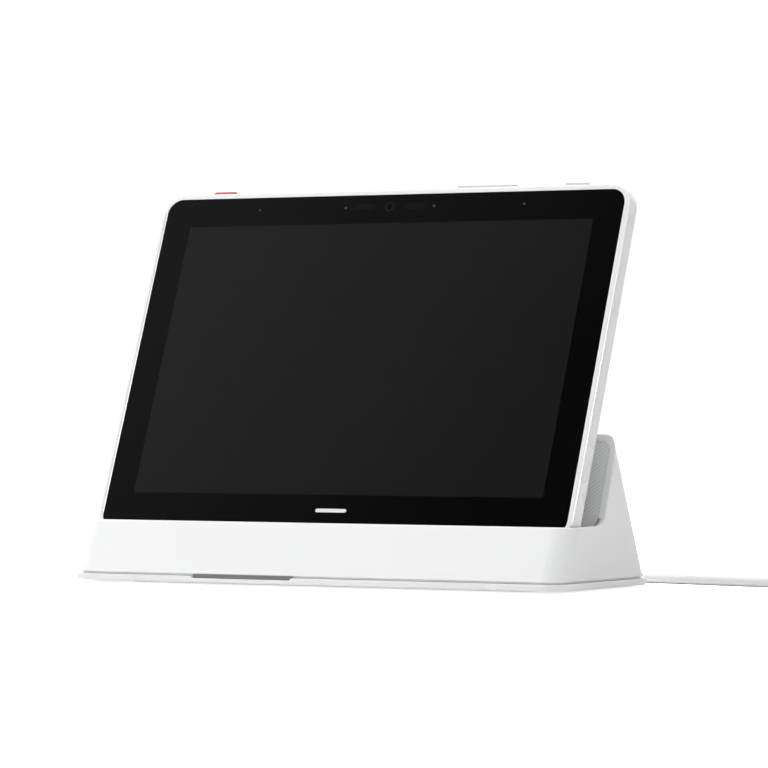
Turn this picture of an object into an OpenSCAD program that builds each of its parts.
// Smart display hub: a tablet with a rounded white frame that stands, leaning back,
// in a speaker and charging dock. Millimetres, +X to the right, -Y to the front, +Z up.
// The origin is on the table, under the middle of the base plate.

/* [Tablet] */
// Width of the tablet
tablet_w = 199.8; // [199:0.1:200.2]
// Height of the tablet along its own slope
tablet_h = 137.9; // [137:0.1:139]
// Thickness of the tablet
tablet_t = 8.8; // [8.6:0.1:9]
// Lean of the tablet from vertical, in degrees
tablet_lean = 21.4; // [21.2:0.1:21.6]
// Width of the white rim around the glass
rim = 2.2; // [2:0.1:2.4]
// Width of the lit part of the display
active_w = 172.2; // [168:0.2:174]
// Height of the lit part of the display
active_h = 107.6; // [104:0.2:109]
// Distance from the tablet's bottom edge to the lit part
active_foot = 16.5; // [15:0.1:18]

/* [Dock] */
// Width of the dock's housing
dock_w = 203.9; // [203.6:0.1:204.4]
// Depth of the housing at its bottom edge
dock_d = 73.4; // [73:0.1:74]
// Height of the housing's bottom edge above the table
dock_foot = 4; // [4:0.1:4.2]
// Height of the front lip
lip_z = 22.9; // [22.6:0.1:23.4]
// Height of the ridge behind the tablet
ridge_z = 55.5; // [55:0.1:56]
// Lean of the housing's front face
front_lean = 24.5; // [24:0.1:24.8]
// Lean of the housing's back face
back_lean = 25; // [24.8:0.1:25.2]
// Lean of the cloth-covered face behind the tablet
face_lean = 20.25; // [20:0.05:20.5]
// Wall of the housing
wall = 2.2; // [2:0.1:2.3]
// How far the base plate stands out past the housing
base_out = 1.05; // [0.9:0.05:1.2]

/* [Front slot] */
// Width of the sound slot under the front edge
port_w = 42; // [30:1:46]
// Height of the sound slot
port_h = 1.55; // [1.2:0.05:1.6]

/* [Buttons] */
// Length of the alarm button and of the power button
key_len = 11.5; // [10:0.5:12]
// Length of the volume rocker
rocker_len = 26.8; // [24:0.2:28]
// How far the buttons stand out of the top edge
key_out = 1.8; // [1.2:0.05:2]

/* [Cable] */
// Diameter of the power cable
cable_d = 3.6; // [3.4:0.1:3.8]

/* [Hidden] */
$fn = 48;
eps = 0.01;               // overlap that lets a cut pass cleanly through a face
air = 0.04;               // air between two parts of one stack

white = [0.93, 0.93, 0.94];
alarm_red = [0.82, 0.2, 0.22];
cloth_grey = [0.66, 0.66, 0.67];
rubber_grey = [0.45, 0.45, 0.46];
steel = [0.7, 0.71, 0.72];
board_green = [0.05, 0.25, 0.14];

// Tablet: its own X is the width, its Y runs up the slope from the bottom edge, its Z leaves the glass.
tablet_foot = [0, -24.84, 17.79];
corner_r = 8.2;
front_r = 0.9;            // rounding of the rim's outer edge
back_r = 3.5;             // rounding between the side wall and the back
side_t = 1.8;             // side wall of the shell
back_t = 1.6;             // back wall of the shell
ledge_w = 2.4;            // ledge that carries the glass
ledge_t = 0.9;
glass_t = 1;
glass_in = 0.1;           // the glass lies this far below the rim
glass_h = tablet_h - 2 * rim;
tape_t = 0.3;
ledge_z = -glass_in - glass_t - tape_t;
inside_z = back_t - tablet_t;
panel_t = 2.2;
frame_z = -3.5;           // front of the metal frame behind the display
frame_t = 0.8;
stack_z = frame_z - frame_t - air;
cell = [60, 72, 2.7];
sensor_y = 130.7;         // height of the camera and the microphones up the slope
mic_x = 56.7;
frame_screw_x = 92;
frame_screw_y = [8, 120];

// Buttons in the top edge
key_x = 75.4;             // alarm button left of the middle, power button right of it
rocker_x = 38.1;
key_t = 3.4;              // thickness of a button, front to back
key_z = -4.4;             // middle of the buttons behind the glass
key_gap = 0.2;            // free space round a button
key_slope = 1.1;          // run of the sloped ends of a button
key_inner = tablet_h - side_t - key_gap;
flange_t = 0.9;
flange_out = 1;           // a button's flange reaches this far past its cap
stem = [3, 2, 2];
switch_y = 130;           // foot of the tact switches under the buttons

// Charging contacts, in the middle of the bottom edge
pin_count = 5;
pin_pitch = 2.6;
pin_r = 0.7;
pin_bore_r = 0.76;
pad_in = 1;               // depth of the pads inside the tablet's edge
pad_well = [16, 4];       // well round the pads

// Housing of the dock
front_r_dock = 8;         // rounding of its upright front edges
back_r_dock = 9.5;        // rounding of its upright back edges
face_foot = [0, -2.09, 23.2];
band = 2.7;               // white band round the cloth
fillet_r = 5.5;           // hollow curve between the side wall's top and the band
ridge_end_r = 6;          // rounding at the two ends of the ridge
shelf_z = 19.5;           // floor of the tray behind the tablet
slot_gap = 0.4;           // air round the tablet in its slot
slot_floor = -1;          // floor of the slot, below the tablet's bottom edge
slot_corner_r = 6;
slot_skin = 2;            // wall of the slot
liner = [84, 6, 0.8];
liner_x = 54;
hollow_top = 47;
seat_r = 3.5;

// Cloth, grille and loudspeakers: X is the width, Y runs up the cloth, Z leaves it.
cloth_foot = -0.8;
cloth_top = 31.5;
cloth_t = 0.5;
grille_t = 1.5;
cloth_air = 0.15;         // air round the cloth and the grille in their seat
seat_z = -2.2;
baffle_z = seat_z - 2.2;  // front of the baffle, on the back of the housing's face wall
baffle_t = 2.5;
baffle_y = 1.6;
baffle_h = 21.6;
driver_x = 58;
driver_y = 11;
driver_z = baffle_z - baffle_t;
driver_r = 11.2;
cone_r = 9;
magnet_r = 6.4;
magnet_t = 2.8;
magnet_z = driver_z - 4.9;
baffle_screw_x = 88;
baffle_screw_y = [4, 20];

// Base plate, feet and weight
base_z = 0.85;
base_edge = 0.4;          // chamfer-like step under the plate's rim
base_top = dock_foot - 0.8;
groove_in = 1.1;          // depth of the shadow line under the housing
ring_w = 2.5;
foot_y = 20;
foot_size = [170, 6];
base_screw_x = 88;
base_screw_y = [-24, 26];
port_x = -27.8;           // middle of the front slot
mesh_y = -36.6;

// Board in the dock
board_z = 6.6;
board_t = 1.2;
board_x = 60;
board_y = [-10, 31];
board_screw_x = 50;
board_screw_y = [-5, 26];
board_top = board_z + board_t;
socket_y = 31.6;
socket_z = board_top + 1.65;

// Cable: the route of its middle line from the strain relief to the coil, and from there to the far plug.
plug_y = 32;              // front face of the plug's grip
grip = [11.8, 18, 6.2];
relief_len = 10;
relief_r = 2.9;
relief_tip_r = 2.2;
exit_y = plug_y + grip[1] + relief_len;
floor_z = cable_d / 2;
run_path = [
    [0, exit_y, socket_z], [0, 62.9, 9.3], [1, 68.4, 8.6], [3.7, 73.2, 7.3], [8, 76.8, 5.7], [13.2, 78.7, 4.2],
    [19.5, 78.5, 2.7], [28, 76.6, floor_z], [44, 73.1, floor_z], [60, 69.5, floor_z], [87, 63.6, floor_z],
    [114, 57.6, floor_z], [141.5, 51.5, floor_z], [163, 46.7, floor_z], [180, 43, 2.3], [193, 40.1, 2.5]
];
coil_at = [196, 11.6];
coil_r = 20.7;            // radius at the middle of its turns
coil_w = 16.8;
coil_h = 7.4;
coil_edge_r = 1.5;
tie_t = 0.6;
tie_w = 6;
far_x = 222;
far_y = -15;
far_z = 3.7;
tail_path = [[223.2, 11.6, 6.1], [223.3, 5, 5.9], [223.2, -2, 5.2], [222.6, -9, 4.3], [far_x, far_y, far_z]];
sides = 8;                // sides of the cable's tube

function slot_point(w, s) = [
    tablet_foot[1] + s * sin(tablet_lean) + w * cos(tablet_lean),
    tablet_foot[2] + s * cos(tablet_lean) - w * sin(tablet_lean)
];
function face_line(z) = face_foot[1] + (z - face_foot[2]) * tan(face_lean);
function front_line(z) = (z - dock_foot) * tan(front_lean) - dock_d / 2;
function back_line(z) = dock_d / 2 - (z - dock_foot) * tan(back_lean);

module on_tablet() { translate(tablet_foot) rotate([90 - tablet_lean, 0, 0]) children(); }
module on_face() { translate(face_foot) rotate([90 - face_lean, 0, 0]) children(); }
// Runs an outline in Y and Z along X, w wide and centred.
module along_x(w) { rotate([90, 0, 90]) translate([0, 0, -w / 2]) linear_extrude(w) children(); }
// Runs an outline in X and Z towards -Y, from y = 0.
module towards_front(len) { rotate([90, 0, 0]) linear_extrude(len) children(); }
// Box centred on X, the rest of it starting at the given place.
module bar(size, at) { translate([at[0] - size[0] / 2, at[1], at[2]]) cube(size); }

// Rectangle with round corners, centred on X, its lower edge on Y = 0.
module rounded(w, h, r) {
    translate([-w / 2 + r, 0]) square([w - 2 * r, h]);
    translate([-w / 2, r]) square([w, h - 2 * r]);
    for (x = [-1, 1], y = [r, h - r]) translate([x * (w / 2 - r), y]) circle(r);
}
// The same as a plate t thick whose front lies at Z = 0.
module plate(w, h, t, r) { translate([0, 0, -t]) linear_extrude(t) rounded(w, h, r); }
// Bar with fully round ends, centred.
module stadium(len, t) {
    square([len - t, t], center = true);
    for (x = [-1, 1]) translate([x * (len - t) / 2, 0]) circle(d = t);
}
module screw(head_r, head_h, thread_r, len) {
    cylinder(r = head_r, h = head_h);
    translate([0, 0, -len]) cylinder(r = thread_r, h = len + eps);
}

// ---------------------------------------------------------------- tablet
// Half section of the shell's edge: X runs outwards, Y from the back to the front at 0.
module shell_edge() {
    translate([0, -tablet_t]) square([corner_r - back_r, tablet_t]);
    translate([0, back_r - tablet_t]) square([corner_r, tablet_t - back_r - front_r]);
    translate([0, -front_r]) square([corner_r - front_r, front_r]);
    translate([corner_r - front_r, -front_r]) circle(front_r);
    translate([corner_r - back_r, back_r - tablet_t]) circle(back_r);
}
// Solid slab with the shell's outer form: four turned corners, four straight edges and the middle.
module shell_form() {
    half_w = tablet_w / 2 - corner_r;
    turn = [180, 270, 0, 90];
    top = tablet_h - corner_r;
    corners = [[-half_w, corner_r], [half_w, corner_r], [half_w, top], [-half_w, top]];
    for (i = [0:3]) translate([corners[i][0], corners[i][1], 0]) rotate([0, 0, turn[i]])
        rotate_extrude(angle = 90, $fn = 96) shell_edge();
    translate([0, top, 0]) along_x(2 * half_w) shell_edge();
    translate([0, corner_r, 0]) along_x(2 * half_w) mirror([1, 0]) shell_edge();
    for (x = [0, 1]) mirror([x, 0, 0]) translate([half_w, top, 0]) towards_front(top - corner_r) shell_edge();
    bar([2 * half_w, top - corner_r, tablet_t], [0, corner_r, -tablet_t]);
}
module tablet_shell() {
    inner_w = tablet_w - 2 * side_t;
    inner_h = tablet_h - 2 * side_t;
    color(white) on_tablet() difference() {
        union() {
            difference() {
                shell_form();
                // seat of the glass, the opening behind it, and the hollow behind the ledge
                translate([0, rim, 1]) plate(tablet_w - 2 * rim, glass_h, 1 - ledge_z, corner_r - rim);
                translate([0, side_t + ledge_w, 0])
                    plate(inner_w - 2 * ledge_w, inner_h - 2 * ledge_w, -inside_z, 4);
                translate([0, side_t, ledge_z - ledge_t])
                    plate(inner_w, inner_h, ledge_z - ledge_t - inside_z, corner_r - side_t);
            }
            // posts that the frame's screws go into
            for (x = [-1, 1], y = frame_screw_y) translate([x * frame_screw_x, y, inside_z - eps])
                cylinder(r = 2.2, h = frame_z - frame_t - inside_z - air);
        }
        for (x = [-1, 1], y = frame_screw_y) translate([x * frame_screw_x, y, inside_z])
            cylinder(r = 0.85, h = 5);
        for (x = [-key_x, key_x]) key_hole(x, key_len);
        key_hole(rocker_x, rocker_len);
        bar([pad_well[0], side_t + 2, pad_well[1]], [0, -1, key_z - pad_well[1] / 2]);
        // sound holes of the tablet's own speaker
        for (i = [0:5]) translate([68 + 4 * i, 21, -tablet_t - 1]) cylinder(r = 0.8, h = back_t + 2, $fn = 24);
    }
}
module key_hole(x, len) {
    bar([len + 2 * key_gap, side_t + 2, key_t + 2 * key_gap],
        [x, tablet_h - side_t - 1, key_z - key_t / 2 - key_gap]);
}
module cover_glass() {
    color("black") on_tablet() translate([0, rim + air, -glass_in])
        plate(tablet_w - 2 * rim - 2 * air, glass_h - 2 * air, glass_t, corner_r - rim - air);
}
module glass_adhesive() {
    inner = ledge_w + side_t - rim;
    color("dimgray") on_tablet() translate([0, 0, -glass_in - glass_t]) difference() {
        translate([0, rim + 0.3, 0])
            plate(tablet_w - 2 * rim - 0.6, glass_h - 0.6, tape_t, corner_r - rim - 0.3);
        translate([0, rim + inner, 1])
            plate(tablet_w - 2 * rim - 2 * inner, glass_h - 2 * inner, 3, 4);
    }
}
module display_panel() {
    color("darkslategray") on_tablet() translate([0, active_foot - 4, -glass_in - glass_t - air])
        plate(active_w + 6, active_h + 6.5, panel_t, 1);
}
module mid_frame() {
    color("dimgray") on_tablet() difference() {
        translate([0, 4.4, frame_z]) plate(190.8, 121, frame_t, 3);
        for (x = [-1, 1], y = frame_screw_y) translate([x * frame_screw_x, y, -9]) cylinder(r = 1, h = 9);
    }
}
module main_board() {
    color(board_green) on_tablet() translate([-48, 90, stack_z]) plate(80, 30, 1, 2);
}
module board_shields() {
    color(steel) on_tablet() for (x = [-74, -48, -24])
        translate([x, 94, stack_z - 1 - air]) plate(20, 21, 1.3, 1);
}
module battery_cells() {
    color("slategray") on_tablet() for (x = [-1, 1])
        translate([x * (cell[0] / 2 + 2), 12, stack_z]) plate(cell[0], cell[1], cell[2], 2);
}
module camera_module() {
    color("black") on_tablet() {
        translate([0, sensor_y, -4.6]) cylinder(r = 1.9, h = 3.4);
        bar([7, 6.5, 1.4], [0, sensor_y - 3.5, -6]);
    }
}
module microphones() {
    color(steel) on_tablet() for (x = [-mic_x, mic_x]) bar([3, 3.4, 1.5], [x, sensor_y - 2, -3]);
}
module key_switches() {
    strip = [12, 0.8, 4];
    color("dimgray") on_tablet() {
        for (x = [-key_x, key_x]) bar(strip, [x, switch_y - strip[1], key_z - 2]);
        bar([26, strip[1], strip[2]], [rocker_x, switch_y - strip[1], key_z - 2]);
        for (x = [-key_x, key_x, rocker_x - 9, rocker_x + 9]) bar([4, 1.6, 3], [x, switch_y, key_z - 1.5]);
    }
}
module tablet_speaker() {
    color("black") on_tablet() translate([78, 14, stack_z]) plate(24, 14, 2.7, 3);
}
module charge_pads() {
    color("gold") on_tablet() for (i = [0:pin_count - 1]) bar([1.8, 0.6, 2], [pin_x(i), pad_in, key_z - 1]);
    color("black") on_tablet()
        bar([pad_well[0], 2.2, pad_well[1]], [0, pad_in + 0.6, key_z - pad_well[1] / 2]);
}
module frame_screws() {
    color(steel) on_tablet() for (x = [-1, 1], y = frame_screw_y)
        translate([x * frame_screw_x, y, frame_z]) screw(1.6, 0.7, 0.8, 3.5);
}
// Cap of a button: a bar with round ends, sloped off where it leaves the wall.
module key_cap(len, depth) {
    top = tablet_h + key_out;
    intersection() {
        translate([0, top, 0]) towards_front(key_out + depth) stadium(len, key_t);
        translate([0, 0, -key_t]) linear_extrude(2 * key_t) polygon([
            [-len / 2, top - key_out - depth], [len / 2, top - key_out - depth], [len / 2, tablet_h + 0.2],
            [len / 2 - key_slope, top], [key_slope - len / 2, top], [-len / 2, tablet_h + 0.2]]);
    }
}
module push_button(x) {
    on_tablet() translate([x, 0, key_z]) {
        key_cap(key_len, side_t + key_gap);
        bar([key_len + 2 * flange_out, flange_t, key_t + 0.4], [0, key_inner - flange_t, -key_t / 2 - 0.2]);
        bar(stem, [0, key_inner - flange_t - stem[1], -stem[2] / 2]);
    }
}
module alarm_button() { color(alarm_red) push_button(-key_x); }
module power_button() { color(white) push_button(key_x); }
// The rocker tips about its middle, so its flange is short.
module volume_rocker() {
    color(white) on_tablet() translate([rocker_x, 0, key_z]) {
        key_cap(rocker_len, side_t + 0.8);
        bar([10, 1, key_t + 0.9], [0, key_inner - 1.5, -key_t / 2 - 0.75]);
        translate([0, key_inner - 1, -key_t / 2 - 0.75]) cylinder(r = 0.9, h = key_t + 0.9, $fn = 24);
    }
}

// ---------------------------------------------------------------- dock
// Side outline of the housing: front, lip, hollow curve, cloth face, ridge and back.
module side_outline() {
    fillet_y = face_line(lip_z) - fillet_r * tan((90 - face_lean) / 2);
    polygon(concat(
        [[-dock_d / 2, dock_foot], [front_line(lip_z), lip_z]],
        [for (a = [0:5:90 - face_lean]) [fillet_y + fillet_r * sin(a), lip_z + fillet_r * (1 - cos(a))]],
        [[face_line(ridge_z), ridge_z], [back_line(ridge_z), ridge_z], [dock_d / 2, dock_foot]]
    ));
}
// Plan of the housing with its corners rounded, run along a leaning edge. The lean is towards +Y.
module leaning_form(lean, r, inset) {
    w = dock_w - 2 * inset;
    rotate([-lean, 0, 0]) translate([0, inset, -20]) linear_extrude(90) {
        translate([-w / 2, r]) square([w, 2 * dock_d]);
        translate([-w / 2 + r, 0]) square([w - 2 * r, 2 * dock_d]);
        for (x = [-1, 1]) translate([x * (w / 2 - r), r]) circle(r, $fn = 96);
    }
}
// Outline of the housing from the front: upright sides and rounded top corners.
module end_outline() {
    w = dock_w / 2;
    arc = [for (a = [0:10:90]) [w - ridge_end_r * (1 - cos(a)), ridge_z - ridge_end_r * (1 - sin(a))]];
    polygon(concat([[w, 0]], arc, [for (i = [len(arc) - 1:-1:0]) [-arc[i][0], arc[i][1]]], [[-w, 0]]));
}
module outer_form() {
    intersection() {
        along_x(dock_w) side_outline();
        translate([0, dock_d, 0]) towards_front(2 * dock_d) end_outline();
        translate([0, -dock_d / 2, dock_foot]) leaning_form(front_lean, front_r_dock, 0);
        mirror([0, 1, 0]) translate([0, -dock_d / 2, dock_foot]) leaning_form(back_lean, back_r_dock, 0);
    }
}
// Hollow of the housing, seen from the side. It passes under the slot and the tray and up behind the cloth.
module hollow_outline() {
    in_front = wall / cos(front_lean);
    in_back = wall / cos(back_lean);
    in_face = -baffle_z / cos(face_lean);
    low = dock_foot - 1;
    polygon([
        [front_line(low) + in_front, low],
        slot_point(-2.9, slot_floor - slot_skin),
        slot_point(tablet_t + slot_gap + slot_skin, slot_floor - slot_skin),
        slot_point(tablet_t + slot_gap + slot_skin, 3.6),
        [face_line(shelf_z - slot_skin) + in_face, shelf_z - slot_skin],
        [face_line(hollow_top) + in_face, hollow_top],
        [back_line(hollow_top) - in_back, hollow_top],
        [back_line(low) - in_back, low]
    ]);
}
module hollow_form() {
    intersection() {
        along_x(dock_w - 2 * wall) hollow_outline();
        translate([0, -dock_d / 2, dock_foot]) leaning_form(front_lean, front_r_dock - wall, wall);
        mirror([0, 1, 0]) translate([0, -dock_d / 2, dock_foot])
            leaning_form(back_lean, back_r_dock - wall, wall);
    }
}
module dock_housing() {
    color(white) difference() {
        union() {
            difference() {
                outer_form();
                hollow_form();
            }
            // bosses for the base plate's screws
            for (x = [-base_screw_x, base_screw_x]) {
                translate([x, base_screw_y[0], dock_foot + 0.2]) cylinder(r = 3, h = 10.4);
                translate([x, base_screw_y[1], dock_foot + 0.2]) cylinder(r = 3, h = 13);
            }
        }
        for (x = [-base_screw_x, base_screw_x], y = base_screw_y)
            translate([x, y, 0]) cylinder(r = 1.2, h = 11);
        // slot that the tablet stands in
        on_tablet() translate([0, slot_floor, slot_gap])
            plate(tablet_w + 2 * slot_gap, 60, tablet_t + 2 * slot_gap, slot_corner_r);
        // tray between the slot and the cloth
        along_x(dock_w - 2 * band) polygon([
            slot_point(6, 7), slot_point(6, 60), [face_line(80), 80], [face_line(shelf_z), shelf_z],
            [face_line(shelf_z) - 11, shelf_z]]);
        on_face() {
            translate([0, cloth_foot, 1]) plate(dock_w - 2 * band, cloth_top - cloth_foot, 1 - seat_z, seat_r);
            for (x = [-driver_x, driver_x]) translate([x, driver_y, baffle_z - 1]) cylinder(r = 10, h = 4);
            for (x = [-1, 1], y = baffle_screw_y) translate([x * baffle_screw_x, y, baffle_z - 1])
                cylinder(r = 0.85, h = 2.8);
        }
        // openings for the contact block and for the cable's plug
        on_tablet() bar([18.4, slot_skin + 2, 5.4], [0, slot_floor - slot_skin - 1, key_z - 2.7]);
        translate([0, 45, socket_z]) towards_front(20) stadium(grip[0] + 1, grip[2] + 1);
    }
}
// Plan of the housing's foot, made larger or smaller all round.
module foot_plan(out) {
    w = dock_w + 2 * out;
    d = dock_d + 2 * out;
    rf = front_r_dock + out;
    rb = back_r_dock + out;
    translate([-w / 2, rf - d / 2]) square([w, d - rf - rb]);
    translate([rf - w / 2, -d / 2]) square([w - 2 * rf, d / 2]);
    translate([rb - w / 2, 0]) square([w - 2 * rb, d / 2]);
    for (x = [-1, 1]) {
        translate([x * (w / 2 - rf), rf - d / 2]) circle(rf);
        translate([x * (w / 2 - rb), d / 2 - rb]) circle(rb);
    }
}
module base_plate() {
    post_at = [for (x = [-1, 1], y = board_screw_y) [x * board_screw_x, y]];
    color(white) difference() {
        union() {
            translate([0, 0, base_z]) linear_extrude(base_edge) foot_plan(base_out - 0.3);
            translate([0, 0, base_z + base_edge])
                linear_extrude(base_top - base_z - base_edge) foot_plan(base_out);
            translate([0, 0, base_top - eps]) linear_extrude(dock_foot - base_top + eps) difference() {
                foot_plan(-groove_in);
                foot_plan(-groove_in - ring_w);
            }
            bar([port_w + 4, 4.2, dock_foot - base_top], [port_x, -34, base_top - eps]);
            for (p = post_at) translate([p[0], p[1], base_top - eps])
                cylinder(r = 2.8, h = board_z - base_top + eps);
        }
        bar([port_w, 9, port_h + 1], [port_x, -39, dock_foot - port_h]);
        for (x = [-base_screw_x, base_screw_x], y = base_screw_y) translate([x, y, 0]) {
            cylinder(r = 1.6, h = 10);
            cylinder(r = 3, h = 2.1);
        }
        for (p = post_at) translate([p[0], p[1], 1.5]) cylinder(r = 0.9, h = 10);
        for (y = [-foot_y, foot_y]) translate([0, y, 0])
            linear_extrude(1) stadium(foot_size[0] + 0.2, foot_size[1] + 0.2);
    }
}
module face_plate(z, t) {
    on_face() translate([0, cloth_foot + cloth_air, z])
        plate(dock_w - 2 * (band + cloth_air), cloth_top - cloth_foot - 2 * cloth_air, t, seat_r - cloth_air);
}
module speaker_cloth() { color(cloth_grey) face_plate(0, cloth_t); }
module grille_frame() {
    color("dimgray") difference() {
        face_plate(-cloth_t, grille_t);
        on_face() for (side = [-1, 1], i = [-3:3], j = [-2:2])
            translate([side * driver_x + 3 * i, driver_y + 3 * j, -5]) cylinder(r = 1, h = 10, $fn = 16);
    }
}
module speaker_baffle() {
    color("dimgray") on_face() difference() {
        translate([0, baffle_y, baffle_z]) plate(2 * baffle_screw_x + 10, baffle_h, baffle_t, 2);
        for (x = [-driver_x, driver_x]) translate([x, driver_y, driver_z - 1]) cylinder(r = 9.5, h = 6);
        for (x = [-1, 1], y = baffle_screw_y) translate([x * baffle_screw_x, y, driver_z - 1])
            cylinder(r = 1.1, h = 6);
    }
}
module at_drivers() {
    on_face() for (x = [-driver_x, driver_x]) translate([x, driver_y, driver_z]) children();
}
module speaker_baskets() {
    color("gray") at_drivers() rotate_extrude($fn = 64) polygon([
        [9.4, 0], [driver_r, 0], [driver_r, -1.2], [10, -1.2], [7.2, -4.9],
        [3.2, -4.9], [3.2, -4.1], [6.6, -4.1], [9.4, -1.2]]);
}
module speaker_magnets() {
    color(steel) at_drivers() translate([0, 0, magnet_z - driver_z - magnet_t]) difference() {
        cylinder(r = magnet_r, h = magnet_t);
        translate([0, 0, 1]) cylinder(r = 3, h = magnet_t);
    }
}
// Cone, surround, dust cap and voice coil of one loudspeaker.
module speaker_cone(x) {
    color("black") on_face() translate([x, driver_y, driver_z]) rotate_extrude($fn = 64) polygon([
        [0, -2.2], [2.4, -2.5], [6.4, -0.9], [7.4, -0.5], [8.4, -0.3], [cone_r, -0.7], [cone_r, -1.1],
        [8.3, -0.8], [7.2, -1.1], [3, -3.1], [2.3, -3.1], [2.3, -5.7], [1.9, -5.7], [1.9, -3], [0, -2.7]]);
}
module speaker_cone_left() { speaker_cone(-driver_x); }
module speaker_cone_right() { speaker_cone(driver_x); }
module baffle_screws() {
    color(steel) on_face() for (x = [-1, 1], y = baffle_screw_y) translate([x * baffle_screw_x, y, driver_z])
        rotate([180, 0, 0]) screw(1.9, 1, 0.8, baffle_t + 1.6);
}
module slot_liner() {
    color(rubber_grey) on_tablet() for (x = [-liner_x, liner_x])
        translate([x, slot_floor + liner[2], key_z]) towards_front(liner[2]) stadium(liner[0], liner[1]);
}
function pin_x(i) = (i - (pin_count - 1) / 2) * pin_pitch;
module at_pins() {
    on_tablet() for (i = [0:pin_count - 1]) translate([pin_x(i), 0, key_z]) rotate([-90, 0, 0]) children();
}
module contact_block() {
    low = slot_floor - slot_skin;
    color("black") difference() {
        on_tablet() {
            bar([18, slot_skin + 0.7, 5], [0, low, key_z - 2.5]);
            bar([22, 3.4, 6.8], [0, low - 3.4, key_z - 3.4]);
        }
        at_pins() translate([0, 0, low - 3.2]) cylinder(r = pin_bore_r, h = 12);
    }
}
module contact_pins() {
    tip = pad_in - 0.1;
    color("gold") at_pins() {
        translate([0, 0, -4.4]) cylinder(r = pin_r, h = 4.4 + tip - 0.4);
        translate([0, 0, tip - 0.4 - eps]) cylinder(r1 = pin_r, r2 = 0.4, h = 0.4 + eps, $fn = 24);
    }
}
// Flat cable from the contact block's underside, over the weight, to the board.
module contact_ribbon() {
    color("peru") along_x(10) polygon([
        [-22.3, 9.9], [-19.5, 8.5], [-12, 8.3], [-9.5, 8.05], [-6, 8.05],
        [-6, 7.8], [-9.6, 7.8], [-12.1, 8.05], [-19.6, 8.2], [-22.8, 9.75]]);
}
module dock_board() {
    color(board_green) difference() {
        bar([2 * board_x, board_y[1] - board_y[0], board_t], [0, board_y[0], board_z]);
        for (x = [-1, 1], y = board_screw_y) translate([x * board_screw_x, y, 0]) cylinder(r = 1.1, h = 10);
    }
}
module board_parts() {
    color("black") {
        bar([9, 9, 1.2], [-16, 4, board_top]);
        bar([6, 6, 1], [18, 2, board_top]);
        bar([7, 7, 3], [-32, 12, board_top]);
        bar([7, 7, 3], [30, 12, board_top]);
    }
    color("gray") for (x = [-42, 42]) translate([x, 14, board_top]) cylinder(r = 3.2, h = 5.5);
    color("ivory") for (x = [-24, 24]) bar([8, 4, 4], [x, -9, board_top]);
}
module usb_socket() {
    color(steel) translate([0, socket_y, socket_z]) difference() {
        towards_front(7.4) stadium(9, 3.3);
        translate([0, eps, 0]) towards_front(6.9) stadium(8.5, 2.7);
    }
}
module board_screws() {
    color(steel) for (x = [-1, 1], y = board_screw_y) translate([x * board_screw_x, y, board_top])
        screw(1.9, 1.1, 0.85, 5);
}
module ballast_bar() { color("dimgray") bar([150, 13, 4.6], [0, -27.5, base_top + 0.1]); }
module port_mesh() {
    color("black") bar([port_w - 0.1, 0.4, port_h - 0.1], [port_x, mesh_y, dock_foot - port_h + 0.05]);
}
module base_screws() {
    color(steel) for (x = [-base_screw_x, base_screw_x], y = base_screw_y) translate([x, y, 2.1])
        rotate([180, 0, 0]) screw(2.6, 1.3, 1.15, 7.6);
}
module rubber_feet() {
    color(rubber_grey) for (y = [-foot_y, foot_y]) translate([0, y, 0]) linear_extrude(1)
        stadium(foot_size[0], foot_size[1]);
}

// ---------------------------------------------------------------- cable
module usb_plug() {
    color(steel) translate([0, plug_y, socket_z]) towards_front(6.4) stadium(8.3, 2.45);
    color(white) translate([0, plug_y + grip[1], socket_z]) towards_front(grip[1]) stadium(grip[0], grip[2]);
}
module strain_relief() {
    color(white) translate([0, plug_y + grip[1], socket_z]) rotate([-90, 0, 0]) difference() {
        cylinder(r1 = relief_r, r2 = relief_tip_r, h = relief_len);
        for (i = [0:2]) translate([0, 0, 2 + 2.6 * i]) difference() {
            cylinder(r = 5, h = 0.9);
            translate([0, 0, -1]) cylinder(r = 2, h = 3);
        }
    }
}
// Tube swept along a route: rings of points, square to the way that the route runs there.
function unit(v) = v / norm(v);
function ring(p, i) =
    let (
        along = unit(p[min(i + 1, len(p) - 1)] - p[max(i - 1, 0)]),
        across = unit(cross(along, [0, 0, 1])),
        over = cross(across, along)
    )
    [for (k = [0:sides - 1]) let (a = 360 * (k + 0.5) / sides)
        p[i] + cable_d / 2 * (cos(a) * across + sin(a) * over)];
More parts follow.
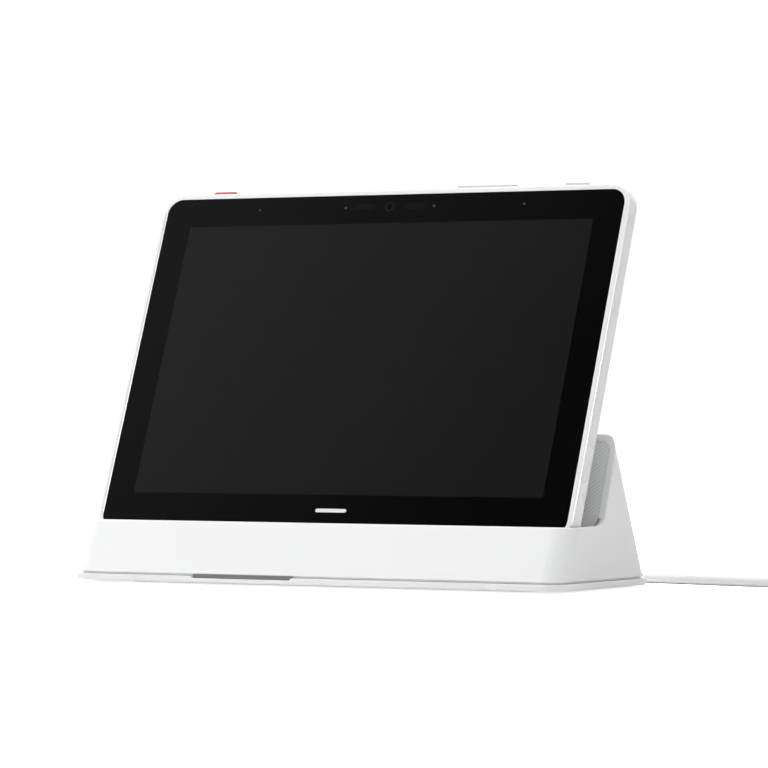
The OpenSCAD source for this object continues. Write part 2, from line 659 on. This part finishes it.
// Point a share t of the way from p[i] to the next, on a smooth curve through them all.
function on_curve(p, i, t) =
    let (a = p[max(i - 1, 0)], b = p[i], c = p[i + 1], d = p[min(i + 2, len(p) - 1)])
    0.5 * (2 * b + (c - a) * t + (2 * a - 5 * b + 4 * c - d) * t * t + (3 * b - a - 3 * c + d) * t * t * t);
module tube(route) {
    p = concat([for (i = [0:len(route) - 2], t = [0, 0.5]) on_curve(route, i, t)], [route[len(route) - 1]]);
    points = [for (i = [0:len(p) - 1]) each ring(p, i)];
    skin = [for (i = [0:len(p) - 2], k = [0:sides - 1])
        [i * sides + k, i * sides + (k + 1) % sides, (i + 1) * sides + (k + 1) % sides, (i + 1) * sides + k]];
    first = [for (k = [sides - 1:-1:0]) k];
    last = [for (k = [0:sides - 1]) (len(p) - 1) * sides + k];
    polyhedron(points, concat([first], skin, [last]), convexity = 6);
}
module cable_run() { color(white) tube(run_path); }
module cable_tail() { color(white) tube(tail_path); }
module rounded_section(w, h, r) { translate([0, -h / 2]) rounded(w, h, r); }
module cable_coil() {
    color(white) translate([coil_at[0], coil_at[1], tie_t + coil_h / 2]) rotate_extrude($fn = 96)
        translate([coil_r, 0]) rounded_section(coil_w, coil_h, coil_edge_r);
}
module coil_tie() {
    color(rubber_grey) translate([coil_at[0] - tie_w / 2, coil_at[1] - coil_r, tie_t + coil_h / 2])
        rotate([90, 0, 90]) linear_extrude(tie_w) difference() {
            rounded_section(coil_w + 2 * tie_t, coil_h + 2 * tie_t, coil_edge_r + tie_t);
            rounded_section(coil_w, coil_h, coil_edge_r);
        }
}
module far_relief() {
    color(white) translate([far_x, far_y, far_z]) rotate([90, 0, 0])
        cylinder(r1 = relief_tip_r, r2 = relief_r, h = relief_len);
}
module far_plug() {
    grip_y = far_y - relief_len;
    tip_y = grip_y - 24;
    color(white) translate([far_x, grip_y, far_z]) towards_front(24) rounded_section(15.6, 7.4, 2);
    color(steel) translate([far_x, tip_y, far_z]) towards_front(14) difference() {
        square([12, 4.5], center = true);
        square([11.4, 3.9], center = true);
    }
    color("black") bar([11.3, 13.4, 1.6], [far_x, tip_y - 13.4, far_z + 0.2]);
}

tablet_shell();
cover_glass();
glass_adhesive();
display_panel();
mid_frame();
main_board();
board_shields();
battery_cells();
camera_module();
microphones();
key_switches();
tablet_speaker();
charge_pads();
frame_screws();
alarm_button();
volume_rocker();
power_button();
dock_housing();
base_plate();
speaker_cloth();
grille_frame();
speaker_baffle();
speaker_baskets();
speaker_magnets();
speaker_cone_left();
speaker_cone_right();
baffle_screws();
slot_liner();
contact_block();
contact_pins();
contact_ribbon();
dock_board();
board_parts();
usb_socket();
board_screws();
ballast_bar();
port_mesh();
base_screws();
rubber_feet();
usb_plug();
strain_relief();
cable_run();
cable_coil();
coil_tie();
cable_tail();
far_relief();
far_plug();
